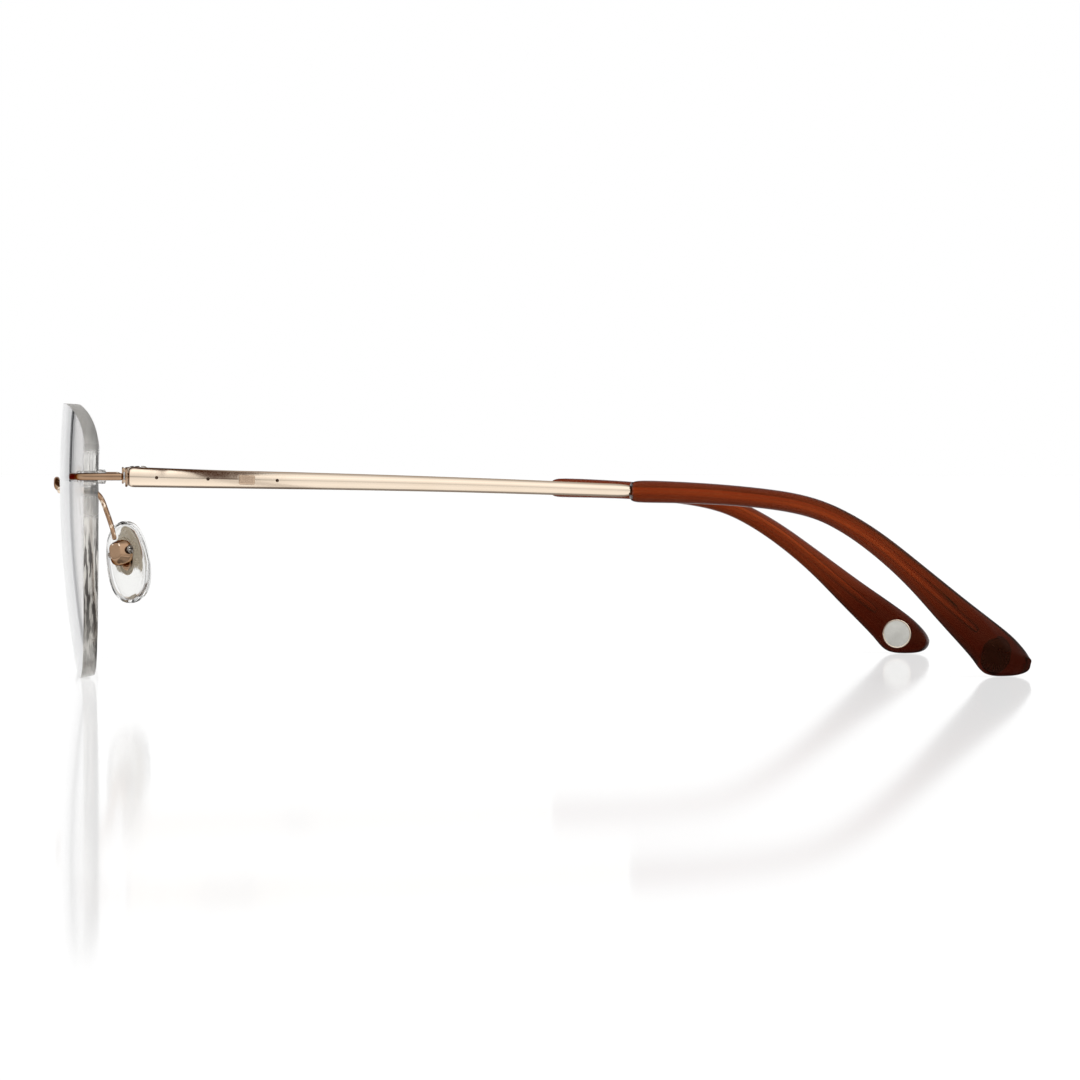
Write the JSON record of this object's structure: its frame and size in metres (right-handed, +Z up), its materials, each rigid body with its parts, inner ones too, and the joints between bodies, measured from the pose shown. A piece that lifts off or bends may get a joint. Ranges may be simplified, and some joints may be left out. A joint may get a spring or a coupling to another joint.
{
  "type": "rimless eyeglasses",
  "caption": "Rimless eyeglasses: clear crown-panto lenses on a prong-mounted bridge and end pieces, slim folding metal temples with brown tips, and rocking nose pads.",
  "frame": {"origin": "middle of the whole object seen from above, on the surface that the lenses and the temple tips stand on", "axes": "+X to the wearer's left, -Y to the front, +Z up; the plane X=0 is the middle between the lenses"},
  "size_m": [0.1388, 0.147, 0.0411],
  "materials": {
    "lens": "polished clear lens with ground, faceted edges",
    "plug": "moulded clear plastic",
    "champagne_gold": "polished champagne gold plating",
    "pale_gold": "polished pale gold inlay, plain",
    "rose_gold": "polished rose gold plating",
    "screw_steel": "turned steel",
    "brown_acetate": "polished translucent cognac brown acetate",
    "pale_enamel": "plain satin enamel disc with a thin metal rim",
    "pad_clear": "soft clear moulded pad"
  },
  "bodies": {
    "front": {"bridge": "champagne_gold", "left_lens": "lens", "left_nasal_plug": "plug", "left_temporal_plug": "plug", "left_end_piece": "champagne_gold", "left_hinge_screw": "screw_steel", "left_pad_arm": "rose_gold", "left_pad_box": "rose_gold", "left_pad_screw": "screw_steel", "right_lens": "lens", "right_nasal_plug": "plug", "right_temporal_plug": "plug", "right_end_piece": "champagne_gold", "right_hinge_screw": "screw_steel", "right_pad_arm": "rose_gold", "right_pad_box": "rose_gold", "right_pad_screw": "screw_steel"},
    "left_temple_arm": {"left_temple": "champagne_gold", "left_temple_inlay": "pale_gold", "left_temple_tip": "brown_acetate", "left_tip_disc": "pale_enamel"},
    "left_pad": {"left_nose_pad": "pad_clear", "left_pad_insert": "rose_gold"},
    "right_temple_arm": {"right_temple": "champagne_gold", "right_temple_inlay": "pale_gold", "right_temple_tip": "brown_acetate", "right_tip_disc": "pale_enamel"},
    "right_pad": {"right_nose_pad": "pad_clear", "right_pad_insert": "rose_gold"}
  },
  "joints": [
    {"name": "left_temple_fold", "type": "hinge", "parent": "front", "child": "left_temple_arm", "pos_m": [0.06495, -0.06013, 0.03005], "axis": [0, 0, 1], "range_deg": [0, 82]},
    {"name": "right_temple_fold", "type": "hinge", "parent": "front", "child": "right_temple_arm", "pos_m": [-0.06495, -0.06013, 0.03005], "axis": [0, 0, -1], "range_deg": [0, 78]},
    {"name": "left_pad_rock", "type": "hinge", "parent": "front", "child": "left_pad", "pos_m": [0.0119, -0.06298, 0.0183], "axis": [0.4839, 0.8397, 0.2463], "range_deg": [-10, 10]},
    {"name": "right_pad_rock", "type": "hinge", "parent": "front", "child": "right_pad", "pos_m": [-0.0119, -0.06298, 0.0183], "axis": [-0.4839, 0.8397, 0.2463], "range_deg": [-10, 10]}
  ]
}
